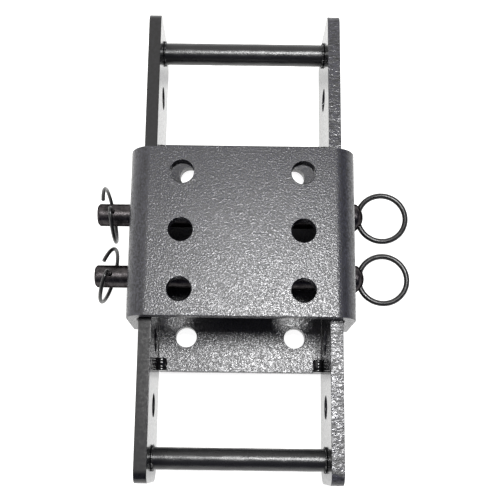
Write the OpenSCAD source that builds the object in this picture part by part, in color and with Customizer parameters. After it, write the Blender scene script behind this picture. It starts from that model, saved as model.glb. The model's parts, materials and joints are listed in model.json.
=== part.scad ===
// Height-adjustable quick coupler: a welded frame, a bracket that slides on it and two
// ringed pins that lock the bracket at one of several heights.
// X runs across, Y up the frame and Z out of the mounting face towards the bracket.

/* [Side plates] */
// Overall width across the two side plates
frame_w = 149.5; // [140:0.5:200]
// Depth of a side plate, from the mounting face forwards
plate_depth = 65; // [52:1:90]
// Thickness of a side plate
plate_t = 9.5; // [6:0.5:14]
// Corner radius at the front of a side plate
front_corner_r = 9; // [2:0.5:14]
// Corner radius at the back of a side plate
rear_corner_r = 14; // [2:0.5:20]

/* [Pin holes] */
// Number of pin holes up each side plate, an even number
hole_rows = 6; // [4:2:8]
// Distance from one pin hole to the next
hole_pitch = 50; // [48:1:60]
// Distance from the last pin hole to the end of its plate
end_len = 57.5; // [45:0.5:90]
// Diameter of the pins
pin_d = 17.4; // [12:0.1:21]
// Clearance round a pin in its hole, on the radius
pin_clear = 0.3; // [0.2:0.05:0.8]

/* [Back plate] */
// Height of the back plate
web_h = 192; // [172:1:240]
// Thickness of the back plate
web_t = 8; // [5:0.5:12]
// Gap between the back plate and a side plate
web_gap = 0.25; // [0.1:0.05:1]
// Diameter of the mounting holes
web_hole_d = 16.8; // [10:0.2:22]
// Distance across between the mounting holes
web_hole_dx = 87; // [60:1:92]
// Distance up between the mounting holes
web_hole_dy = 136; // [100:1:140]
// Leg of a corner weld
web_weld_leg = 7.5; // [4:0.5:10]
// Length of a corner weld
web_weld_len = 10; // [6:1:24]
// Distance from the upper end of the back plate to its upper welds
web_weld_inset = 8; // [0:0.5:20]

/* [Cross rods] */
// Diameter of a cross rod
rod_d = 17; // [10:0.5:20]
// Distance from a cross rod to the end of the plates
rod_edge = 9.5; // [4:0.5:16]
// Leg of the weld round a rod end
rod_weld_leg = 2; // [1.5:0.1:6]

/* [Slider bracket] */
// Height of the bracket
bracket_h = 128; // [122:1:160]
// Thickness of the bracket plate
bracket_t = 8; // [5:0.5:12]
// Inside bend radius of the bracket
bend_in_r = 8; // [4:0.5:14]
// Steel left behind a pin at the back edge of a flange
flange_wall = 6.3; // [3:0.1:16]
// Side clearance between the bracket and the frame
side_gap = 1.6; // [0.4:0.1:3]
// Clearance between the inside of the bend and the frame's front corners
corner_gap = 1; // [0.5:0.1:4]
// Diameter of the tow bar bolt holes
bolt_hole_d = 18; // [10:0.5:20]
// Distance between the two columns of bolt holes
bolt_dx = 90; // [60:1:100]
// Distance from one row of bolt holes to the next
bolt_dy = 44.5; // [36:0.5:50]

/* [Pins] */
// Width of the step from a pin to its head
head_lip = 2.3; // [1:0.1:5]
// Length of a pin head
head_len = 11; // [10.6:0.1:16]
// Height of the dome on a pin head
dome_h = 5.7; // [2:0.1:6]
// Gap between a pin head and the bracket
head_gap = 0.25; // [0.1:0.05:1]
// Length of pin past the far side of the bracket
tail_len = 29.2; // [26:0.1:40]
// Chamfer on the end of a pin
tail_chamfer = 1.5; // [0.5:0.1:3]

/* [Pull rings] */
// Outside diameter of a pull ring
pull_od = 42; // [38:0.2:47]
// Wire diameter of a pull ring
pull_wire = 4.4; // [2.5:0.1:5]
// Distance from the end of a pin head to the wire in it
pull_inset = 3.9; // [3.5:0.1:5]
// Clearance round the pull ring's wire in the pin head
pull_clear = 0.35; // [0.2:0.05:0.6]

/* [Lock rings] */
// Outside diameter of a lock ring
lock_od = 46.6; // [38:0.2:47]
// Wire diameter of a lock ring
lock_wire = 3; // [2:0.1:4]
// Distance from the end of a pin to its lock ring hole
lock_inset = 12; // [9:0.5:14]
// Clearance round the lock ring's wire in the pin, on the radius
lock_clear = 0.4; // [0.2:0.05:0.8]
// Bend radius where the lock ring's leg turns into its loop
lock_bend = 4.5; // [3:0.5:6]
// Sideways gap between the wires after the lock ring's one turn
lock_lead_gap = 1.4; // [1:0.1:3]
// Length of the leg that shows behind the pin
lock_leg_out = 3.8; // [2:0.1:7]
// Angle by which the loop stops short of its own leg
lock_end_angle = 16; // [10:1:60]
// Angle of the upper lock ring about its leg, as it rests
upper_lock_tilt = 8; // [-20:1:20]
// Angle of the lower lock ring about its leg, as it rests
lower_lock_tilt = -17; // [-20:1:20]

/* [Hidden] */

$fn = 96;
cut = 1; // how far a cutting shape passes the surface that it cuts
paint = [0.10, 0.10, 0.11];
weld_paint = [0.08, 0.08, 0.09];
rod_paint = [0.05, 0.05, 0.06];
pin_black = [0.14, 0.13, 0.13];
ring_black = [0.07, 0.07, 0.07];
wire_sides = 12;
loop_step = 7.5; // degrees between two rings of the lock ring's mesh

// frame
plate_len = (hole_rows - 1) * hole_pitch + 2 * end_len;
inner_x = frame_w / 2 - plate_t;
mid_z = plate_depth / 2;
rod_y = plate_len / 2 - rod_edge - rod_d / 2;
pin_y = hole_pitch / 2;
pin_hole_d = pin_d + 2 * pin_clear;
web_w = 2 * (inner_x - web_gap);

// bracket
bend_reach = bend_in_r * (1 - sqrt(1 - pow(1 - side_gap / bend_in_r, 2)));
face_z = plate_depth + bend_reach + corner_gap + bracket_t;
flange_back_z = mid_z - pin_hole_d / 2 - flange_wall;
outer_x = frame_w / 2 + side_gap + bracket_t;

// pins and rings
head_d = pin_d + 2 * head_lip;
head_x = outer_x + head_gap;
head_end_x = head_x + head_len;
tail_x = -outer_x - tail_len;
lock_x = tail_x + lock_inset;
lock_hole_d = lock_wire + 2 * lock_clear;
lock_lead = lock_wire + lock_lead_gap;
lock_leg = pin_d / 2 + lock_leg_out;
pull_x = head_end_x - pull_inset;
pull_r = (pull_od - pull_wire) / 2;
lock_r = (lock_od - lock_wire) / 2;

// An axle, pin or hole along X
module bar_x(d, x0, x1) {
    translate([x0, 0, 0])
        rotate([0, 90, 0])
            cylinder(d = d, h = x1 - x0);
}

// A round hole through Z
module hole_z(d, z0, z1) {
    translate([0, 0, z0 - cut])
        cylinder(d = d, h = z1 - z0 + 2 * cut);
}

// Outline of a side plate in the YZ plane, round at its four corners
module side_outline() {
    half = plate_len / 2;
    difference() {
        translate([-half, 0])
            square([plate_len, plate_depth]);
        for (side = [-1, 1]) {
            corner_cut(side * half, plate_depth, -side, -1, front_corner_r);
            corner_cut(side * half, 0, -side, 1, rear_corner_r);
        }
    }
}

// What a corner loses when it is rounded; sx and sy point from the corner into the plate
module corner_cut(x, y, sx, sy, r) {
    difference() {
        translate([x + sx * (r - cut) / 2, y + sy * (r - cut) / 2])
            square(r + cut, center = true);
        translate([x + sx * r, y + sy * r])
            circle(r = r);
    }
}

// A side plate whose inner face lies at X = 0, with its thickness towards +X
module side_plate() {
    color(paint)
        difference() {
            rotate([90, 0, 90])
                linear_extrude(plate_t)
                    side_outline();
            for (row = [0 : hole_rows - 1])
                translate([0, (row - (hole_rows - 1) / 2) * hole_pitch, mid_z])
                    bar_x(pin_hole_d, -cut, plate_t + cut);
        }
}

module left_side_plate() {
    translate([-inner_x, 0, 0])
        mirror([1, 0, 0])
            side_plate();
}

module right_side_plate() {
    translate([inner_x, 0, 0])
        side_plate();
}

module back_plate() {
    color(paint)
        difference() {
            translate([-web_w / 2, -web_h / 2, 0])
                cube([web_w, web_h, web_t]);
            for (sx = [-1, 1], sy = [-1, 1])
                translate([sx * web_hole_dx / 2, sy * web_hole_dy / 2, 0])
                    hole_z(web_hole_d, 0, web_t);
        }
}

// sy is 1 for the upper rod and -1 for the lower one
module cross_rod(sy) {
    color(rod_paint)
        translate([0, sy * rod_y, mid_z])
            bar_x(rod_d, -inner_x, inner_x);
}

module upper_cross_rod() {
    cross_rod(1);
}

module lower_cross_rod() {
    cross_rod(-1);
}

// Weld bead round one end of a rod, against the side plate
module rod_weld(sx, sy) {
    color(weld_paint)
        translate([sx * inner_x, sy * rod_y, mid_z])
            rotate([0, -sx * 90, 0])
                rotate_extrude()
                    translate([rod_d / 2, 0])
                        polygon([[0, 0], [rod_weld_leg, 0], [0.6 * rod_weld_leg, 0.6 * rod_weld_leg],
                            [0, rod_weld_leg]]);
}

module upper_left_rod_weld() {
    rod_weld(-1, 1);
}

module upper_right_rod_weld() {
    rod_weld(1, 1);
}

module lower_left_rod_weld() {
    rod_weld(-1, -1);
}

module lower_right_rod_weld() {
    rod_weld(1, -1);
}

// Short weld in the corner of the back plate and a side plate, near the back plate's end
module web_weld(sx, sy) {
    inset = sy > 0 ? web_weld_inset : 0;
    color(weld_paint)
        translate([sx * inner_x, sy * (web_h / 2 - inset - web_weld_len / 2), web_t])
            intersection() {
                rotate([90, 0, 0])
                    cylinder(r = web_weld_leg, h = web_weld_len, center = true);
                translate([sx > 0 ? -web_weld_leg : 0, -web_weld_len / 2, 0])
                    cube([web_weld_leg, web_weld_len, web_weld_leg]);
            }
}

module upper_left_web_weld() {
    web_weld(-1, 1);
}

module upper_right_web_weld() {
    web_weld(1, 1);
}

module lower_left_web_weld() {
    web_weld(-1, -1);
}

module lower_right_web_weld() {
    web_weld(1, -1);
}

// Outline of the bracket's section, or of the space inside it, square at the back
module bracket_outline(half_w, front_z, back_z, r) {
    difference() {
        translate([-half_w, back_z])
            square([2 * half_w, front_z - back_z]);
        for (side = [-1, 1])
            corner_cut(side * half_w, front_z, -side, -1, r);
    }
}

module slider_bracket() {
    color(paint)
        difference() {
            translate([0, bracket_h / 2, 0])
                rotate([90, 0, 0])
                    linear_extrude(bracket_h)
                        difference() {
                            bracket_outline(outer_x, face_z, flange_back_z, bend_in_r + bracket_t);
                            bracket_outline(outer_x - bracket_t, face_z - bracket_t,
                                flange_back_z - cut, bend_in_r);
                        }
            for (col = [-1, 1], row = [-1 : 1])
                translate([col * bolt_dx / 2, row * bolt_dy, 0])
                    hole_z(bolt_hole_d, face_z - bracket_t, face_z);
            for (side = [-1, 1])
                translate([0, side * pin_y, mid_z])
                    bar_x(pin_hole_d, -outer_x - cut, outer_x + cut);
        }
}

// Half outline of a pin, its radius across and its length up from the tail to the domed head
module pin_outline() {
    dome_r = (head_d * head_d / 4 + dome_h * dome_h) / (2 * dome_h);
    shoulder = head_end_x - dome_h;
    r = pin_d / 2;
    translate([0, tail_x + tail_chamfer])
        square([r, head_x - tail_x - tail_chamfer]);
    polygon([[0, tail_x], [r - tail_chamfer, tail_x], [r, tail_x + tail_chamfer],
        [0, tail_x + tail_chamfer]]);
    translate([0, head_x])
        square([head_d / 2, shoulder - head_x]);
    intersection() {
        translate([0, shoulder])
            square([head_d / 2, dome_h]);
        translate([0, head_end_x - dome_r])
            circle(r = dome_r);
    }
}

// Room for the pull ring in a pin head: a straight hole along Y, flared on the outer side with
// the curve of the ring's wire, so that the ring can swing forwards and back
module pull_hole() {
    r = pull_wire / 2 + pull_clear;
    reach = head_d / 2 + cut;
    rotate([90, 0, 0])
        cylinder(r = r, h = 2 * reach, center = true);
    intersection() {
        rotate([90, 0, 0])
            rotate_extrude()
                difference() {
                    translate([0, -reach])
                        square([pull_r, 2 * reach]);
                    translate([pull_r, 0])
                        circle(r = pull_r - r);
                }
        translate([-r, -reach, -reach])
            cube(2 * reach);
    }
}

// sy is 1 for the upper pin and -1 for the lower one
module lock_pin(sy) {
    color(pin_black)
        translate([0, sy * pin_y, mid_z])
            difference() {
                rotate([0, 90, 0])
                    rotate_extrude()
                        pin_outline();
                translate([pull_x, 0, 0])
                    pull_hole();
                translate([lock_x, 0, 0])
                    hole_z(lock_hole_d, -pin_d / 2, pin_d / 2);
            }
}

module upper_pin() {
    lock_pin(1);
}

module lower_pin() {
    lock_pin(-1);
}

// Closed ring of round wire through the pin head, its plane facing the front
module pull_ring(sy) {
    color(ring_black)
        translate([pull_x + pull_r, sy * pin_y, mid_z])
            rotate_extrude()
                translate([pull_r, 0])
                    circle(d = pull_wire, $fn = 48);
}

module upper_pull_ring() {
    pull_ring(1);
}

module lower_pull_ring() {
    pull_ring(-1);
}

function unit(v) = v / norm(v);

// Middle line of a lock ring: a leg along Z through the pin, a bend, and one turn round the pin
function lock_path() =
    let (
        bend_z = sqrt(pow(lock_r - lock_bend, 2) - pow(lock_bend, 2)),
        start = atan2(lock_bend, bend_z),
        turn = 360 - lock_end_angle - start,
        steps = ceil(turn / loop_step),
        bend_steps = 8
    ) concat(
        [[0, 0, -lock_leg], [0, 0, 0]],
        [for (i = [0 : bend_steps - 1])
            let (a = i * (90 + start) / bend_steps)
            [0, -lock_bend + lock_bend * cos(a), bend_z + lock_bend * sin(a)]],
        [for (i = [0 : steps])
            let (a = start + i * turn / steps)
            [-lock_lead * i / steps, -lock_r * sin(a), lock_r * cos(a)]]
    );

// Points round the path, one ring of the wire's outline at each point
function wire_points(path, r) =
    [for (i = [0 : len(path) - 1])
        let (
            along = unit(path[min(i + 1, len(path) - 1)] - path[max(i - 1, 0)]),
            out = unit([1, 0, 0] - along * along.x),
            up = cross(along, out)
        )
        for (k = [0 : wire_sides - 1])
            path[i] + r * (cos(360 * k / wire_sides) * out + sin(360 * k / wire_sides) * up)];

function wire_faces(n) = concat(
    [[for (k = [0 : wire_sides - 1]) k]],
    [for (i = [0 : n - 2], k = [0 : wire_sides - 1])
        let (next = (k + 1) % wire_sides, a = i * wire_sides, b = a + wire_sides)
        [a + k, b + k, b + next, a + next]],
    [[for (k = [wire_sides - 1 : -1 : 0]) (n - 1) * wire_sides + k]]
);

// Spring wire ring that keeps a pin in; it swivels on the leg that passes through the pin
module lock_ring(sy, tilt) {
    path = lock_path();
    color(ring_black)
        translate([lock_x, sy * pin_y, mid_z])
            rotate([0, 0, tilt])
                polyhedron(wire_points(path, lock_wire / 2), wire_faces(len(path)), convexity = 4);
}

module upper_lock_ring() {
    lock_ring(1, upper_lock_tilt);
}

module lower_lock_ring() {
    lock_ring(-1, lower_lock_tilt);
}

left_side_plate();
right_side_plate();
back_plate();
upper_cross_rod();
lower_cross_rod();
upper_left_rod_weld();
upper_right_rod_weld();
lower_left_rod_weld();
lower_right_rod_weld();
upper_left_web_weld();
upper_right_web_weld();
lower_left_web_weld();
lower_right_web_weld();
slider_bracket();
upper_pin();
lower_pin();
upper_pull_ring();
lower_pull_ring();
upper_lock_ring();
lower_lock_ring();
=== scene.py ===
"""Visual model of a height-adjustable quick coupler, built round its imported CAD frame."""

import json
import math

import bmesh
import bpy
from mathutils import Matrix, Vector, noise


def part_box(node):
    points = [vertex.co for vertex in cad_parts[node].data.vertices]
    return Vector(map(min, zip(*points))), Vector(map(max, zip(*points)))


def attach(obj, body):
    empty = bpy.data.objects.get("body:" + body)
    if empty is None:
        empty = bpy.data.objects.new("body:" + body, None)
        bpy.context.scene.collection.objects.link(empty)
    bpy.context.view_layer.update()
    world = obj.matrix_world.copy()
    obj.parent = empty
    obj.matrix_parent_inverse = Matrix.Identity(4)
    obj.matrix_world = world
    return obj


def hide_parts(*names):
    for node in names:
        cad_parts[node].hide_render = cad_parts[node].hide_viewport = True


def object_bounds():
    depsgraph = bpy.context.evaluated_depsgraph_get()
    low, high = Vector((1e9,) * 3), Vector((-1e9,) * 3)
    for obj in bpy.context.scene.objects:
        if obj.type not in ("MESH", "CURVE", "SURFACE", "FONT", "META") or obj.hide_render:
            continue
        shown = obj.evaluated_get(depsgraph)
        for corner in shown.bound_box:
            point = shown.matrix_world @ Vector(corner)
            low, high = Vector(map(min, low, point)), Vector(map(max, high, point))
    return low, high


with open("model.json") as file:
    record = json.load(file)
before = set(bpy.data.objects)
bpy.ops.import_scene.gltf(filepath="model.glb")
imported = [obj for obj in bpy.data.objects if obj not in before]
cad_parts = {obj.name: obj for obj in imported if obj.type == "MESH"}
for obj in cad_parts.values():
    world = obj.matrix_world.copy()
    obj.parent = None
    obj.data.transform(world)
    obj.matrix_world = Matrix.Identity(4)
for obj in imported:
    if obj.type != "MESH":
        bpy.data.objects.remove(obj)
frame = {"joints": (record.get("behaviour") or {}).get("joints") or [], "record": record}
CAD_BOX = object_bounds()

bl_info = {
    "name": "Quick Coupler",
    "version": (1, 0, 0),
    "blender": (4, 5, 0),
    "location": "View3D > Sidebar > Coupler",
    "description": "Builds a quick coupler: frame, slider bracket, pins, rings and stage",
    "category": "Object",
}

MM = 0.001
TOUCH = 0.01 * MM  # Points closer than this are the same point
RING_ROOM = 9 * MM  # Height of the back over the floor, so that a ring can hang down
PAINT_IOR = 1.5

# Camera and lamp, in metres and degrees
CAMERA_PLACE = (-0.00239, -0.16492, 0.58979)
CAMERA_TURN = (9.889, -0.058, 0.759)
CAMERA_LENS_MM = 52.79
CAMERA_SHIFT = (0.027, 0.164)
LAMP_PLACE = (0.11, 0.07, 1.2)
LAMP_SIZE = (0.3, 0.3)
LAMP_WATTS = 17

# Brightness and tint of the walls round the stage
HORIZON = (1.5, 1.5, 1.5, 1)
LEFT_WALL = (1.2, 1.18, 1.16, 1)
RIGHT_WALL = (0.06, 0.06, 0.11, 1)
LEFT_WAY = (-0.85, 0.5, 0)

MOUNTS = {m["name"]: m for m in frame["record"]["mounts"]}
JOINTS = {j["name"]: j for j in frame["joints"]}
LEVELS = ("upper", "lower")
SIDES = ("left", "right")


def linear(code):
    """Linear RGB of an sRGB hex colour."""
    parts = (int(code[i : i + 2], 16) / 255 for i in (1, 3, 5))
    return tuple(c / 12.92 if c <= 0.04045 else ((c + 0.055) / 1.055) ** 2.4 for c in parts)


# ---------------------------------------------------------------- sizes and colours


class CouplerSizes(bpy.types.PropertyGroup):
    """Sizes that the CAD boxes don't give by themselves"""

    front_corner: bpy.props.FloatProperty(
        name="Front Corner", description="Corner radius at the front of a side plate",
        default=9 * MM, unit="LENGTH")
    rear_corner: bpy.props.FloatProperty(
        name="Rear Corner", description="Corner radius at the back of a side plate",
        default=14 * MM, unit="LENGTH")
    bracket_wall: bpy.props.FloatProperty(
        name="Bracket Wall", description="Thickness of the bracket plate",
        default=8 * MM, unit="LENGTH")
    bend_radius: bpy.props.FloatProperty(
        name="Bend Radius", description="Outside bend radius of the bracket",
        default=16 * MM, unit="LENGTH")
    edge_round: bpy.props.FloatProperty(
        name="Edge Round", description="Rounding that the paint leaves on a cut edge",
        default=0.4 * MM, unit="LENGTH")
    cut_depth: bpy.props.FloatProperty(
        name="Cut Depth", description="Depth of the drag lines on the right plate's cut edge",
        default=0.28 * MM, unit="LENGTH")
    pin_radius: bpy.props.FloatProperty(
        name="Pin Radius", description="Radius of a pin's shank",
        default=8.7 * MM, unit="LENGTH")
    head_length: bpy.props.FloatProperty(
        name="Head Length", description="Length of a pin head with its dome",
        default=11 * MM, unit="LENGTH")
    dome_height: bpy.props.FloatProperty(
        name="Dome Height", description="Height of the dome on a pin head",
        default=5.7 * MM, unit="LENGTH")
    tail_chamfer: bpy.props.FloatProperty(
        name="Tail Chamfer", description="Chamfer on the end of a pin",
        default=1.5 * MM, unit="LENGTH")
    pull_clear: bpy.props.FloatProperty(
        name="Pull Ring Clearance", description="Room round the pull ring's wire in the pin head",
        default=0.35 * MM, unit="LENGTH")
    lock_wire: bpy.props.FloatProperty(
        name="Lock Ring Wire", description="Wire diameter of a lock ring",
        default=3 * MM, unit="LENGTH")
    lock_clear: bpy.props.FloatProperty(
        name="Lock Ring Clearance", description="Room round the lock ring's wire in the pin",
        default=0.4 * MM, unit="LENGTH")
    lock_bend: bpy.props.FloatProperty(
        name="Lock Ring Bend", description="Bend radius between a lock ring's leg and its loop",
        default=4.5 * MM, unit="LENGTH")
    lock_lead: bpy.props.FloatProperty(
        name="Lock Ring Lead", description="Sideways lead of a lock ring over its one turn",
        default=4.4 * MM, unit="LENGTH")
    lock_leg: bpy.props.FloatProperty(
        name="Lock Ring Leg", description="Length of the leg behind the middle of the pin",
        default=12.5 * MM, unit="LENGTH")
    lock_stop: bpy.props.FloatProperty(
        name="Lock Ring Stop", description="Angle by which the loop stops short of its own leg",
        default=math.radians(16), unit="ROTATION")


class CouplerColours(bpy.types.PropertyGroup):
    """Colours of the finishes and of the stage"""

    paint: bpy.props.FloatVectorProperty(
        name="Powder Coat", description="Black powder coat on the plates",
        default=linear("#060607"), subtype="COLOR", min=0, max=1)
    # Lighter flecks of the coat: painted glints of light on the grain tops, not a colour of the
    # coat itself
    painted_glint: bpy.props.FloatVectorProperty(
        name="Powder Coat Grain", description="Tops of the powder coat's grain",
        default=linear("#38383e"), subtype="COLOR", min=0, max=1)
    gloss: bpy.props.FloatVectorProperty(
        name="Gloss Paint", description="Thicker paint on the rods and welds",
        default=linear("#161618"), subtype="COLOR", min=0, max=1)
    pin: bpy.props.FloatVectorProperty(
        name="Pin Steel", description="Blackened steel of the pins",
        default=linear("#4b4849"), subtype="COLOR", min=0, max=1)
    ring: bpy.props.FloatVectorProperty(
        name="Ring Steel", description="Blackened spring wire of the rings",
        default=linear("#0b0b0b"), subtype="COLOR", min=0, max=1)
    floor: bpy.props.FloatVectorProperty(
        name="Floor", description="Plain floor under the coupler",
        default=linear("#b4b4b2"), subtype="COLOR", min=0, max=1)


def sizes():
    return bpy.context.scene.coupler_sizes


def colours():
    return bpy.context.scene.coupler_colours


# ---------------------------------------------------------------- modelling helpers


def only(obj):
    """Makes obj the active object and the only one that is selected."""
    if bpy.context.mode != "OBJECT":
        bpy.ops.object.mode_set(mode="OBJECT")
    bpy.ops.object.select_all(action="DESELECT")
    obj.select_set(True)
    bpy.context.view_layer.objects.active = obj


def primitive(name, maker, **settings):
    """Adds a primitive with nothing else selected, and names it."""
    if bpy.context.mode != "OBJECT":
        bpy.ops.object.mode_set(mode="OBJECT")
    bpy.ops.object.select_all(action="DESELECT")
    maker(**settings)
    obj = bpy.context.active_object
    obj.name = obj.data.name = name
    return obj


def block(name, low, high):
    """A block between two corners."""
    obj = primitive(name, bpy.ops.mesh.primitive_cube_add, size=1,
                    location=(low + high) / 2, scale=high - low)
    bpy.ops.object.transform_apply(location=True, rotation=True, scale=True)
    return obj


def bar(name, radius, start, end, sides=64):
    """A round bar between two points on a line along X, Y or Z."""
    along = end - start
    turn = along.to_track_quat("Z", "Y").to_euler()
    obj = primitive(name, bpy.ops.mesh.primitive_cylinder_add, vertices=sides, radius=radius,
                    depth=along.length, location=(start + end) / 2, rotation=turn)
    bpy.ops.object.transform_apply(location=True, rotation=True, scale=True)
    return obj


def pick(obj, kind, test):
    """Opens obj in edit mode and selects only the verts, edges or faces that pass the test."""
    only(obj)
    bpy.ops.object.mode_set(mode="EDIT")
    bpy.context.tool_settings.mesh_select_mode = tuple(
        kind == k for k in ("verts", "edges", "faces"))
    bpy.ops.mesh.select_all(action="DESELECT")
    mesh = bmesh.from_edit_mesh(obj.data)
    for part in getattr(mesh, kind):
        if test(part):
            part.select_set(True)
    mesh.select_flush_mode()
    bmesh.update_edit_mesh(obj.data)


def close_edit(obj):
    bpy.ops.object.mode_set(mode="OBJECT")
    return obj


def middle(edge):
    return (edge.verts[0].co + edge.verts[1].co) / 2


def runs_along(edge, axis):
    """True if the edge lies along an axis, 0 to 2."""
    way = edge.verts[1].co - edge.verts[0].co
    return abs(way[axis]) > 0.999 * way.length


def modify(obj, kind, **settings):
    """Adds a modifier and applies it."""
    only(obj)
    modifier = obj.modifiers.new(kind, kind)
    for key, value in settings.items():
        setattr(modifier, key, value)
    bpy.ops.object.modifier_apply(modifier=modifier.name)


def cut(obj, cutters):
    """Cuts the cutters out of obj and removes them."""
    for cutter in cutters:
        modify(obj, "BOOLEAN", operation="DIFFERENCE", solver="EXACT", object=cutter)
        bpy.data.objects.remove(cutter)


def soften(obj, width, segments=3, angle=40):
    """Rounds every sharp edge."""
    modify(obj, "BEVEL", width=width, segments=segments, limit_method="ANGLE",
           angle_limit=math.radians(angle), use_clamp_overlap=False)


def smooth(obj, angle=40):
    """Smooth shading that keeps flat faces flat."""
    only(obj)
    bpy.ops.object.shade_smooth_by_angle(angle=math.radians(angle))
    modify(obj, "WEIGHTED_NORMAL", keep_sharp=True, weight=80)


def displace(obj, move):
    """Moves each vertex by what move says for its place."""
    for vertex in obj.data.vertices:
        vertex.co += move(vertex.co.copy(), vertex.normal.copy())
    obj.data.update()


def complete(obj, node, body, slot, *finishes):
    """Hands a finished piece to the frame in place of its CAD node."""
    obj.data.materials.clear()
    for coat in finishes:
        obj.data.materials.append(coat)
    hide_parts(node)
    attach(obj, body)
    return obj


# ---------------------------------------------------------------- materials


def add(tree, kind, values=None, links=None, **settings):
    """Adds a node with its settings, its input values and its links."""
    made = tree.nodes.new(kind)
    for key, value in settings.items():
        setattr(made, key, value)
    for key, value in (values or {}).items():
        made.inputs[key].default_value = value
    for key, source in (links or {}).items():
        tree.links.new(source, made.inputs[key])
    return made


def start_material(name):
    """An empty node material, its tree and its Object coordinates."""
    material = bpy.data.materials.new(name)
    material.use_nodes = True
    tree = material.node_tree
    tree.nodes.clear()
    return material, tree, add(tree, "ShaderNodeTexCoord").outputs["Object"]


def close_material(tree, colour, roughness, height, depth_mm, constants):
    """Ends a material with its shader, whose bump follows a height."""
    bump = add(tree, "ShaderNodeBump", {"Strength": 1.0, "Distance": depth_mm * MM},
               {"Height": height})
    shader = add(tree, "ShaderNodeBsdfPrincipled", constants,
                 {"Base Color": colour, "Roughness": roughness,
                  "Normal": bump.outputs["Normal"]})
    add(tree, "ShaderNodeOutputMaterial", links={"Surface": shader.outputs["BSDF"]})


def rgba(colour):
    return (*colour[:3], 1)


def stretched(tree, coords, scale):
    """Coordinates scaled along each axis."""
    return add(tree, "ShaderNodeMapping", {"Scale": scale}, {"Vector": coords}).outputs[0]


def grains(tree, coords, size_mm, detail, roughness, seed=None):
    """Noise with grains about size_mm across. A seed gives it a pattern of its own."""
    values = {"Scale": 1 / (size_mm * MM), "Detail": detail, "Roughness": roughness}
    settings = {}
    if seed is not None:
        settings["noise_dimensions"], values["W"] = "4D", seed
    return add(tree, "ShaderNodeTexNoise", values, {"Vector": coords}, **settings).outputs["Fac"]


def spread(tree, source, low, high, reach=0.2):
    """Turns the middle of a noise into a value between low and high."""
    return add(tree, "ShaderNodeMapRange",
               {"From Min": 0.5 - reach, "From Max": 0.5 + reach, "To Min": low, "To Max": high},
               {"Value": source}).outputs["Result"]


def two_tones(tree, source, dark, light):
    """Turns a noise into a colour between dark and light."""
    made = add(tree, "ShaderNodeValToRGB", links={"Fac": source})
    first, last = made.color_ramp.elements
    first.position, first.color = 0.4, rgba(dark)
    last.position, last.color = 0.6, rgba(light)
    return made.outputs["Color"]


def powder_coat(name, grain_mm, depth_mm, roughness, stretch=(1, 1, 1)):
    """Fine-texture black powder coat: a sprayed resin that cures to a field of tiny domes, so
    light breaks into grains and the flat sheen fades slowly at its edge. The real grain is about
    0.4 mm; it is drawn larger so that it shows. The lighter flecks in the colour are painted
    glints of light on the grain; the coat itself is one black, and only the roughness that
    varies with the flecks is real."""
    material, tree, coords = start_material(name)
    coords = stretched(tree, coords, stretch)
    domes = grains(tree, coords, grain_mm, 2, 0.7)
    sparkle = grains(tree, coords, grain_mm, 2, 0.6, seed=3.0)
    # The lighter flecks are painted glints of light; the roughness that the same noise varies is
    # real
    close_material(tree, two_tones(tree, sparkle, colours().paint, colours().painted_glint),
                   spread(tree, sparkle, roughness + 0.16, roughness - 0.14, reach=0.07),
                   domes, depth_mm, {"Metallic": 0.0, "IOR": PAINT_IOR})
    return material


def gloss_paint(name, wave_mm, depth_mm, roughness):
    """Powder coat that ran together on a smooth, round or lumpy part: nearly black and glossy,
    with a tight streak of light that a slight orange peel breaks up."""
    material, tree, coords = start_material(name)
    peel = grains(tree, coords, wave_mm, 3, 0.6)
    close_material(tree, two_tones(tree, peel, colours().gloss, colours().paint),
                   spread(tree, peel, roughness - 0.05, roughness + 0.07),
                   peel, depth_mm, {"Metallic": 0.0, "IOR": PAINT_IOR})
    return material


def black_oxide(name, colour, metallic, rim, roughness, stretch, depth_mm):
    """Oiled black oxide on turned or drawn steel: nearly black with a soft bright streak along
    the top, and fine marks that run round or along the part. A low rim keeps the edges dark."""
    material, tree, coords = start_material(name)
    marks = grains(tree, stretched(tree, coords, stretch), 1.1, 3, 0.6)
    stain = grains(tree, coords, 4, 3, 0.6)
    close_material(tree, two_tones(tree, stain, [0.5 * c for c in colour], colour),
                   spread(tree, marks, roughness - 0.06, roughness + 0.1),
                   marks, depth_mm, {"Metallic": metallic, "Specular Tint": rgba([rim] * 3)})
    return material


FINISHES = {
    "powder_coat_flat": lambda name: powder_coat(name, 1.25, 0.24, 0.27),
    "powder_coat_cut_edge": lambda name: powder_coat(name, 1.4, 0.35, 0.28, (0.4, 1, 1)),
    "gloss_coat_plate": lambda name: gloss_paint(name, 2.5, 0.02, 0.17),
    "gloss_coat_rod": lambda name: gloss_paint(name, 1.0, 0.1, 0.3),
    "gloss_coat_weld": lambda name: gloss_paint(name, 1.2, 0.05, 0.18),
    "black_oxide_pin": lambda name: black_oxide(
        name, colours().pin, 1, 0.2, 0.28, (6, 0.5, 0.5), 0.05),
    "black_oxide_wire": lambda name: black_oxide(
        name, colours().ring, 0, 1, 0.3, (1, 1, 1), 0.02),
}


def finish(name):
    """The material of a finish, made at its first use."""
    return bpy.data.materials.get(name) or FINISHES[name](name)


# ---------------------------------------------------------------- places from the frame


def pin_height(level):
    """Y of a pin's axis."""
    return JOINTS[level + "_pull_ring_swing"]["pos_m"][1]


def hole_heights():
    """Y of every pin hole in a side plate."""
    spare = [m["pos_m"][1] for m in MOUNTS.values() if m["kind"] == "bore"]
    return sorted(spare + [pin_height(level) for level in LEVELS])


def bolt_places(mount):
    """X and Y of the holes of a bolt pattern."""
    dims = MOUNTS[mount]["dims"]
    across, up = dims["spacing_x_mm"] * MM / 2, dims.get("spacing_y_mm", 0) * MM / 2
    return [(sx * across, sy * up) for sx in (-1, 1) for sy in ((-1, 1) if up else (1,))]


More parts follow.
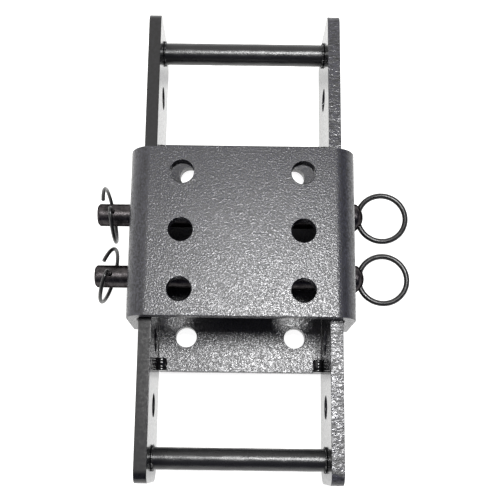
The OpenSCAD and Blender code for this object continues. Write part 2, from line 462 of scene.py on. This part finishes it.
PIN_HOLE = MOUNTS["spare_pin_hole_top"]["dims"]["r_mm"] * MM
PIN_Z = MOUNTS["spare_pin_hole_top"]["pos_m"][2]


# ---------------------------------------------------------------- pieces


class COUPLER_OT_side_plates(bpy.types.Operator):
    """Build both side plates: flat bar, round corners, pin holes and a cut front edge"""

    bl_idname = "coupler.side_plates"
    bl_label = "Side Plates"
    rim = 1.2 * MM  # Depth of the strip that counts as the front edge
    corner_steps = 12
    long_edge = 100 * MM
    coarse_cuts, fine_cuts = 99, 2  # Along a long edge, then along each of its pieces
    bow_mm, bow_pace = 0.12, 330  # Sideways bow of the drag lines
    line_pace, cross_pace = 620, 110  # How fast the relief changes along and across the edge

    def execute(self, context):
        s = sizes()
        for side in SIDES:
            node = side + "_side_plate"
            low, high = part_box(node)
            plate = block("plate_" + side, low, high)
            for z, radius in ((high.z, s.front_corner), (low.z, s.rear_corner)):
                pick(plate, "edges", lambda e: runs_along(e, 0) and abs(middle(e).z - z) < MM)
                bpy.ops.mesh.bevel(offset=radius, segments=self.corner_steps, affect="EDGES")
                close_edit(plate)
            cut(plate, [bar("hole", PIN_HOLE, Vector((low.x - MM, y, PIN_Z)),
                            Vector((high.x + MM, y, PIN_Z))) for y in hole_heights()])
            soften(plate, s.edge_round)
            self.cut_face(plate, high.z, s.cut_depth * (1 if side == "right" else 0.25))
            smooth(plate)
            coats = ("powder_coat_flat", "powder_coat_cut_edge", "gloss_coat_plate")
            complete(plate, node, "frame", "frame_paint", *(finish(name) for name in coats))
            for face in plate.data.polygons:
                if side == "left" or abs(face.normal.x) > 0.9:
                    face.material_index = coats.index("gloss_coat_plate")
                elif face.center.z > high.z - self.rim:
                    face.material_index = coats.index("powder_coat_cut_edge")
        return {"FINISHED"}

    def cut_face(self, plate, top, depth):
        """Drag lines of the cutting torch across the front edge, as real relief."""
        pick(plate, "edges", lambda e: runs_along(e, 1) and middle(e).z > top - self.rim
             and (e.verts[1].co - e.verts[0].co).length > self.long_edge)
        bpy.ops.mesh.subdivide(number_cuts=self.coarse_cuts)
        bpy.ops.mesh.subdivide(number_cuts=self.fine_cuts)
        close_edit(plate)
        side = 1 if plate.name.endswith("right") else -1

        def move(place, normal):
            if place.z < top - 0.2 * MM:
                return Vector()
            wave = math.sin((place.x * self.bow_pace) % 3.14)
            bowed = place.y + side * self.bow_mm * wave * MM
            line = noise.noise(Vector((place.x * self.cross_pace, bowed * self.line_pace,
                                       3.1 * side)))
            return Vector((0, 0, -depth * min(1, max(0, 0.5 + 0.9 * line))))

        displace(plate, move)


class COUPLER_OT_back_plate(bpy.types.Operator):
    """Build the back plate with its mounting holes"""

    bl_idname = "coupler.back_plate"
    bl_label = "Back Plate"

    def execute(self, context):
        low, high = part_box("back_plate")
        plate = block("back_plate_piece", low, high)
        radius = MOUNTS["mounting_bolts"]["dims"]["hole_r_mm"] * MM
        cut(plate, [bar("hole", radius, Vector((x, y, low.z - MM)), Vector((x, y, high.z + MM)))
                    for x, y in bolt_places("mounting_bolts")])
        soften(plate, sizes().edge_round)
        smooth(plate)
        complete(plate, "back_plate", "frame", "frame_paint", finish("powder_coat_flat"))
        return {"FINISHED"}


class COUPLER_OT_slider_bracket(bpy.types.Operator):
    """Build the slider bracket: a plate bent to a channel, with bolt and pin holes"""

    bl_idname = "coupler.slider_bracket"
    bl_label = "Slider Bracket"
    bend_steps = 20

    def execute(self, context):
        s = sizes()
        low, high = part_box("slider_bracket")
        bracket = block("bracket", low, high)
        pick(bracket, "faces", lambda f: f.normal.z < -0.9 or abs(f.normal.y) > 0.9)
        bpy.ops.mesh.delete(type="FACE")
        close_edit(bracket)
        pick(bracket, "edges", lambda e: runs_along(e, 1) and middle(e).z > high.z - MM)
        bpy.ops.mesh.bevel(offset=s.bend_radius, segments=self.bend_steps, affect="EDGES")
        close_edit(bracket)
        modify(bracket, "SOLIDIFY", thickness=s.bracket_wall, offset=-1, use_even_offset=True)
        holes = []
        for name in ("tow_bolts_outer", "tow_bolts_middle"):
            radius = MOUNTS[name]["dims"]["hole_r_mm"] * MM
            for x, y in bolt_places(name):
                holes.append(bar("hole", radius, Vector((x, y, high.z - s.bracket_wall - MM)),
                                 Vector((x, y, high.z + MM))))
        for level in LEVELS:
            y = pin_height(level)
            holes.append(bar("hole", PIN_HOLE, Vector((low.x - MM, y, PIN_Z)),
                             Vector((high.x + MM, y, PIN_Z))))
        cut(bracket, holes)
        soften(bracket, s.edge_round)
        smooth(bracket)
        complete(bracket, "slider_bracket", "frame", "bracket_paint", finish("powder_coat_flat"))
        return {"FINISHED"}


class COUPLER_OT_cross_rods(bpy.types.Operator):
    """Build both cross rods: drawn round bar with a slightly uneven coat"""

    bl_idname = "coupler.cross_rods"
    bl_label = "Cross Rods"
    coat_swing_mm = 0.12  # How much the thickness of the coat varies

    def execute(self, context):
        for level in LEVELS:
            node = level + "_cross_rod"
            low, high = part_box(node)
            centre = (low + high) / 2
            radius = (high.z - low.z) / 2
            rod = bar("rod_" + level, radius, Vector((low.x, centre.y, centre.z)),
                      Vector((high.x, centre.y, centre.z)), sides=64)
            pick(rod, "edges", lambda e: runs_along(e, 0))
            bpy.ops.mesh.subdivide(number_cuts=60)
            close_edit(rod)

            def move(place, normal):
                out = Vector((0, place.y - centre.y, place.z - centre.z)).normalized()
                return -out * self.coat_swing_mm * MM * (0.5 + noise.noise(place * 130 + out))

            displace(rod, move)
            smooth(rod)
            complete(rod, node, "frame", "rod_paint", finish("gloss_coat_rod"))
        return {"FINISHED"}


def bead(name, lumps, base, voxel):
    """Melts a base and a row of lumps into one weld bead."""
    only(base)
    for pool in lumps:
        pool.select_set(True)
    bpy.ops.object.join()
    base.name = base.data.name = name
    modify(base, "REMESH", mode="VOXEL", voxel_size=voxel)
    modify(base, "SMOOTH", factor=0.5, iterations=2)
    return base


def lump(place, scale):
    """One pool of weld metal."""
    obj = primitive("lump", bpy.ops.mesh.primitive_uv_sphere_add, segments=20, ring_count=12,
                    radius=1, location=place, scale=scale)
    bpy.ops.object.transform_apply(location=True, rotation=True, scale=True)
    return obj


class COUPLER_OT_rod_welds(bpy.types.Operator):
    """Build the weld bead round each end of each cross rod"""

    bl_idname = "coupler.rod_welds"
    bl_label = "Rod Welds"
    pools = 15
    grid = 0.35 * MM

    def execute(self, context):
        for level in LEVELS:
            for side in SIDES:
                node = f"{level}_{side}_rod_weld"
                low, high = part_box(node)
                rod_low, rod_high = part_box(level + "_cross_rod")
                centre = (low + high) / 2
                radius = (rod_high.z - rod_low.z) / 2
                leg = high.x - low.x
                wall = low.x if side == "left" else high.x
                way = 1 if side == "left" else -1
                # The bead's own proportions are all shares of its leg
                core = primitive("core", bpy.ops.mesh.primitive_torus_add, major_segments=60,
                                 minor_segments=12, major_radius=radius + 0.32 * leg,
                                 minor_radius=0.34 * leg,
                                 location=(wall + way * 0.34 * leg, centre.y, centre.z),
                                 rotation=(0, math.pi / 2, 0))
                bpy.ops.object.transform_apply(location=True, rotation=True, scale=True)
                lumps = []
                for i in range(self.pools):
                    angle = 2 * math.pi * i / self.pools
                    size = 0.5 + 0.05 * math.sin(5.3 * i + len(node))
                    lumps.append(lump(
                        (wall + way * 0.42 * leg,
                         centre.y + (radius + 0.36 * leg) * math.cos(angle),
                         centre.z + (radius + 0.36 * leg) * math.sin(angle)),
                        (size * leg, size * leg, size * leg)))
                weld = bead("weld_rod_" + level + "_" + side, lumps, core, self.grid)

                def move(place, normal):
                    return Vector((way * max(0, way * (wall - place.x)), 0, 0))

                displace(weld, move)
                smooth(weld, 80)
                complete(weld, node, "frame", "weld_paint", finish("gloss_coat_weld"))
        return {"FINISHED"}


class COUPLER_OT_web_welds(bpy.types.Operator):
    """Build the short weld at each corner of the back plate"""

    bl_idname = "coupler.web_welds"
    bl_label = "Back Plate Welds"
    pools = 4
    grid = 0.5 * MM

    def execute(self, context):
        for level in LEVELS:
            for side in SIDES:
                node = f"{level}_{side}_web_weld"
                low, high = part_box(node)
                wall = low.x if side == "left" else high.x
                way = 1 if side == "left" else -1
                leg, length = high.x - low.x, high.y - low.y
                # The bead's own proportions are all shares of its leg
                core = block("core", Vector((min(wall, wall + way * 0.55 * leg), low.y, low.z)),
                             Vector((max(wall, wall + way * 0.55 * leg), high.y,
                                     low.z + 0.55 * leg)))
                lumps = []
                for i in range(self.pools):
                    share = (i + 0.5) / self.pools
                    size = 0.56 + 0.05 * math.sin(4.1 * i + len(node))
                    lumps.append(lump(
                        (wall + way * 0.4 * leg, low.y + share * length, low.z + 0.36 * leg),
                        (size * leg, 0.36 * length, size * leg)))
                weld = bead("weld_web_" + level + "_" + side, lumps, core, self.grid)

                def move(place, normal):
                    return Vector((way * max(0, way * (wall - place.x)),
                                   min(0, high.y - place.y) + max(0, low.y - place.y),
                                   max(0, low.z - place.z)))

                displace(weld, move)
                smooth(weld, 80)
                complete(weld, node, "frame", "weld_paint", finish("gloss_coat_weld"))
        return {"FINISHED"}


class COUPLER_OT_pins(bpy.types.Operator):
    """Build both pins: chamfered tail, domed head, and cross holes for the rings"""

    bl_idname = "coupler.pins"
    bl_label = "Pins"
    dome_steps = 7
    edge_round = 0.35 * MM

    def execute(self, context):
        s = sizes()
        for level in LEVELS:
            node = level + "_pin"
            low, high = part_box(node)
            y, z = (low.y + high.y) / 2, (low.z + high.z) / 2
            head_radius = (high.z - low.z) / 2
            head = high.x - s.head_length
            shoulder = high.x - s.dome_height
            ball = (head_radius ** 2 + s.dome_height ** 2) / (2 * s.dome_height)
            pin = bar("pin_" + level, s.pin_radius,
                      Vector((low.x + s.tail_chamfer, y, z)), Vector((head, y, z)), sides=72)
            self.step(pin, -1, -s.tail_chamfer, s.pin_radius, s.pin_radius - s.tail_chamfer, y, z)
            self.step(pin, 1, 0, s.pin_radius, head_radius, y, z)
            self.step(pin, 1, shoulder - head, head_radius, head_radius, y, z)
            full = math.asin(head_radius / ball)
            before, height = head_radius, 0
            for i in range(1, self.dome_steps):
                angle = full * (1 - i / self.dome_steps)
                radius = ball * math.sin(angle)
                rise = ball * math.cos(angle) - (ball - s.dome_height)
                self.step(pin, 1, rise - height, before, radius, y, z)
                before, height = radius, rise
            self.step(pin, 1, s.dome_height - height, before, 0.02 * before, y, z)
            pull_x = JOINTS[level + "_pull_ring_swing"]["pos_m"][0]
            lock_x = JOINTS[level + "_lock_ring_swivel"]["pos_m"][0]
            reach = head_radius + MM
            lock_hole = bar("hole", s.lock_wire / 2 + s.lock_clear, Vector((lock_x, y, z - reach)),
                            Vector((lock_x, y, z + reach)), sides=32)
            cut(pin, [lock_hole, self.pull_hole(level, pull_x, y, z, reach)])
            soften(pin, self.edge_round, segments=2, angle=42)
            smooth(pin, 42)
            complete(pin, node, node, "pin_steel", finish("black_oxide_pin"))
        return {"FINISHED"}

    @staticmethod
    def step(pin, way, reach, before, after, y, z):
        """Extrudes the end face along X and scales it to a new radius."""
        tip = max(way * v.co.x for v in pin.data.vertices)
        pick(pin, "faces", lambda f: way * f.normal.x > 0.99
             and abs(way * f.calc_center_median().x - tip) < TOUCH)
        bpy.ops.mesh.extrude_region_move(TRANSFORM_OT_translate={"value": (reach, 0, 0)})
        share = after / before
        bpy.ops.transform.resize(value=(1, share, share), center_override=(0, y, z))
        close_edit(pin)

    @staticmethod
    def pull_hole(level, x, y, z, reach):
        """Cutter for the pull ring: straight behind, and flared in front with the ring's curve."""
        low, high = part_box(level + "_pull_ring")
        wire = (high.z - low.z) / 2
        loop = (high.y - low.y) / 2 - wire
        radius = wire + sizes().pull_clear
        cutter = bar("pull_hole", radius, Vector((x, y - reach, z)), Vector((x, y + reach, z)),
                     sides=48)
        pick(cutter, "edges", lambda e: runs_along(e, 1))
        bpy.ops.mesh.subdivide(number_cuts=17)
        close_edit(cutter)

        def move(place, normal):
            inner = loop - radius
            flare = loop - math.sqrt(inner ** 2 - (place.y - y) ** 2)
            share = flare / radius
            across = max(-radius, (place.x - x) * share)
            return Vector((x + across, place.y, z + (place.z - z) * share)) - place

        displace(cutter, move)
        return cutter


def ring_section(name, radius, place, turn, sides=20):
    """Round section of a wire, ready to be spun."""
    obj = primitive(name, bpy.ops.mesh.primitive_circle_add, vertices=sides, radius=radius,
                    fill_type="NOTHING", location=place, rotation=turn)
    bpy.ops.object.transform_apply(location=True, rotation=True, scale=True)
    return obj


class COUPLER_OT_pull_rings(bpy.types.Operator):
    """Build both pull rings: closed rings of round wire through the pin heads"""

    bl_idname = "coupler.pull_rings"
    bl_label = "Pull Rings"
    turn_steps = 120

    def execute(self, context):
        for level in LEVELS:
            node = level + "_pull_ring"
            low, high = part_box(node)
            centre = (low + high) / 2
            wire = (high.z - low.z) / 2
            loop = (high.y - low.y) / 2 - wire
            ring = ring_section("ring_pull_" + level, wire * 0.995,
                                (centre.x + loop, centre.y, centre.z), (math.pi / 2, 0, 0))
            pick(ring, "edges", lambda e: True)
            bpy.ops.mesh.spin(steps=self.turn_steps, angle=2 * math.pi, center=centre,
                              axis=(0, 0, 1))
            bpy.ops.mesh.select_all(action="SELECT")
            bpy.ops.mesh.remove_doubles(threshold=TOUCH)
            bpy.ops.mesh.normals_make_consistent(inside=False)
            close_edit(ring)

            def move(place, normal):
                return normal * 0.05 * MM * (noise.noise(place * 300) - 0.5)

            displace(ring, move)
            smooth(ring, 60)
            complete(ring, node, node, "ring_steel", finish("black_oxide_wire"))
        return {"FINISHED"}


class COUPLER_OT_lock_rings(bpy.types.Operator):
    """Build both lock rings: a leg through the pin, a bend, and one turn round the pin"""

    bl_idname = "coupler.lock_rings"
    bl_label = "Lock Rings"
    bend_steps, turn_steps = 12, 72

    def execute(self, context):
        s = sizes()
        for level in LEVELS:
            node = level + "_lock_ring"
            joint = JOINTS[level + "_lock_ring_swivel"]
            _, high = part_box(node)
            wire = s.lock_wire / 2
            loop = high.z - joint["pos_m"][2] - wire
            rise = math.sqrt((loop - s.lock_bend) ** 2 - s.lock_bend ** 2)
            first = math.atan2(s.lock_bend, rise)
            turn = 2 * math.pi - s.lock_stop - first
            ring = ring_section("ring_lock_" + level, wire, (0, 0, -s.lock_leg), (0, 0, 0), 16)
            pick(ring, "edges", lambda e: True)
            bpy.ops.mesh.extrude_edges_move(
                TRANSFORM_OT_translate={"value": (0, 0, s.lock_leg + rise)})
            bpy.ops.mesh.spin(steps=self.bend_steps, angle=-math.pi / 2 - first, axis=(1, 0, 0),
                              center=(0, -s.lock_bend, rise))
            bpy.ops.mesh.spin(steps=self.turn_steps, angle=-turn, axis=(1, 0, 0),
                              center=(0, 0, 0))
            close_edit(ring)

            def lead(place, normal):
                share = (math.atan2(-place.y, place.z) % (2 * math.pi) - first) / turn
                on_loop = math.hypot(place.y, place.z) > loop - 1.3 * wire and share < 1.02
                return Vector((-s.lock_lead * max(0, share) if on_loop else 0, 0, 0))

            displace(ring, lead)
            self.cap(ring)
            tilt = -math.radians(sum(joint["range_deg"]) / 2)
            ring.rotation_euler = (0, 0, tilt)
            ring.location = joint["pos_m"]
            only(ring)
            bpy.ops.object.transform_apply(location=True, rotation=True, scale=True)
            smooth(ring, 60)
            complete(ring, node, node, "ring_steel", finish("black_oxide_wire"))
        return {"FINISHED"}

    @staticmethod
    def cap(ring):
        """Closes both wire ends with a rounded tip."""
        pick(ring, "edges", lambda e: e.is_boundary)
        bpy.ops.mesh.edge_face_add()
        bpy.ops.mesh.select_all(action="SELECT")
        bpy.ops.mesh.normals_make_consistent(inside=False)
        close_edit(ring)
        pick(ring, "faces", lambda f: len(f.verts) > 4)
        bpy.ops.mesh.inset(thickness=0.5 * MM, depth=0.35 * MM, use_individual=True)
        close_edit(ring)


# ---------------------------------------------------------------- stage


class COUPLER_OT_stage(bpy.types.Operator):
    """Build the pale floor, the soft light and the camera"""

    bl_idname = "coupler.stage"
    bl_label = "Stage"

    def execute(self, context):
        floor = primitive("floor", bpy.ops.mesh.primitive_plane_add, size=16,
                          location=(0, 0, CAD_BOX[0].z - RING_ROOM))
        bpy.ops.object.transform_apply(location=True, rotation=True, scale=True)
        material, tree, _ = start_material("matt_white_floor")
        shader = add(tree, "ShaderNodeBsdfPrincipled",
                     {"Base Color": rgba(colours().floor), "Roughness": 0.9,
                      "Emission Color": (1, 1, 1, 1), "Emission Strength": 0.9})
        add(tree, "ShaderNodeOutputMaterial", links={"Surface": shader.outputs["BSDF"]})
        floor.data.materials.append(material)
        self.sky()
        self.softbox("top_light", LAMP_PLACE, LAMP_SIZE, LAMP_WATTS)
        self.camera(context)
        return {"FINISHED"}

    @staticmethod
    def sky():
        """White at the horizon and on the left wall, dark and faintly blue on the right."""
        world = bpy.data.worlds.new("studio")
        bpy.context.scene.world = world
        world.use_nodes = True
        tree = world.node_tree
        tree.nodes.clear()
        way = add(tree, "ShaderNodeTexCoord").outputs["Generated"]
        left = add(tree, "ShaderNodeVectorMath", {1: LEFT_WAY}, {0: way},
                   operation="DOT_PRODUCT")
        wall = add(tree, "ShaderNodeMapRange", {"From Min": -0.1, "From Max": 0.15},
                   {"Value": left.outputs["Value"]}).outputs["Result"]
        height = add(tree, "ShaderNodeSeparateXYZ", links={"Vector": way}).outputs["Z"]
        above = add(tree, "ShaderNodeMapRange", {"From Min": 0.12, "From Max": 0.2},
                    {"Value": height}).outputs["Result"]
        upper = add(tree, "ShaderNodeMix", {"A": RIGHT_WALL, "B": LEFT_WALL}, {"Factor": wall},
                    data_type="RGBA")
        every = add(tree, "ShaderNodeMix", {"A": HORIZON}, {"Factor": above}, data_type="RGBA")
        back = add(tree, "ShaderNodeBackground")
        add(tree, "ShaderNodeOutputWorld", links={"Surface": back.outputs[0]})
        tree.links.new(upper.outputs["Result"], every.inputs["B"])
        tree.links.new(every.outputs["Result"], back.inputs["Color"])

    @staticmethod
    def softbox(name, place, size, power):
        """A soft rectangular lamp that faces straight down."""
        data = bpy.data.lights.new(name, "AREA")
        data.shape, data.size, data.size_y, data.energy = "RECTANGLE", *size, power
        lamp = bpy.data.objects.new(name, data)
        lamp.location = place
        lamp.rotation_euler = Vector((0, 0, -1)).to_track_quat("-Z", "Y").to_euler()
        bpy.context.scene.collection.objects.link(lamp)

    @staticmethod
    def camera(context):
        data = bpy.data.cameras.new("camera")
        data.sensor_width, data.lens = 36, CAMERA_LENS_MM
        data.shift_x, data.shift_y = CAMERA_SHIFT
        data.clip_start, data.clip_end = 0.01, 50
        camera = bpy.data.objects.new("camera", data)
        camera.location = CAMERA_PLACE
        camera.rotation_euler = [math.radians(angle) for angle in CAMERA_TURN]
        context.scene.collection.objects.link(camera)
        context.scene.camera = camera
        context.scene.view_settings.view_transform = "Standard"


STEPS = (COUPLER_OT_side_plates, COUPLER_OT_back_plate, COUPLER_OT_slider_bracket,
         COUPLER_OT_cross_rods, COUPLER_OT_rod_welds, COUPLER_OT_web_welds, COUPLER_OT_pins,
         COUPLER_OT_pull_rings, COUPLER_OT_lock_rings, COUPLER_OT_stage)


class COUPLER_PT_panel(bpy.types.Panel):
    """Sidebar panel that lists the steps of the build"""

    bl_idname = "COUPLER_PT_panel"
    bl_label = "Quick Coupler"
    bl_space_type = "VIEW_3D"
    bl_region_type = "UI"
    bl_category = "Coupler"

    def draw(self, context):
        for step in STEPS:
            self.layout.operator(step.bl_idname)
        for group in (context.scene.coupler_sizes, context.scene.coupler_colours):
            box = self.layout.box()
            for key in group.__annotations__:
                box.prop(group, key)


CLASSES = (CouplerSizes, CouplerColours, *STEPS, COUPLER_PT_panel)


def register():
    for cls in CLASSES:
        bpy.utils.register_class(cls)
    bpy.types.Scene.coupler_sizes = bpy.props.PointerProperty(type=CouplerSizes)
    bpy.types.Scene.coupler_colours = bpy.props.PointerProperty(type=CouplerColours)


def unregister():
    del bpy.types.Scene.coupler_sizes
    del bpy.types.Scene.coupler_colours
    for cls in reversed(CLASSES):
        bpy.utils.unregister_class(cls)


def main():
    register()
    for step in STEPS:
        group, name = step.bl_idname.split(".")
        getattr(getattr(bpy.ops, group), name)()


if __name__ == "__main__":
    main()
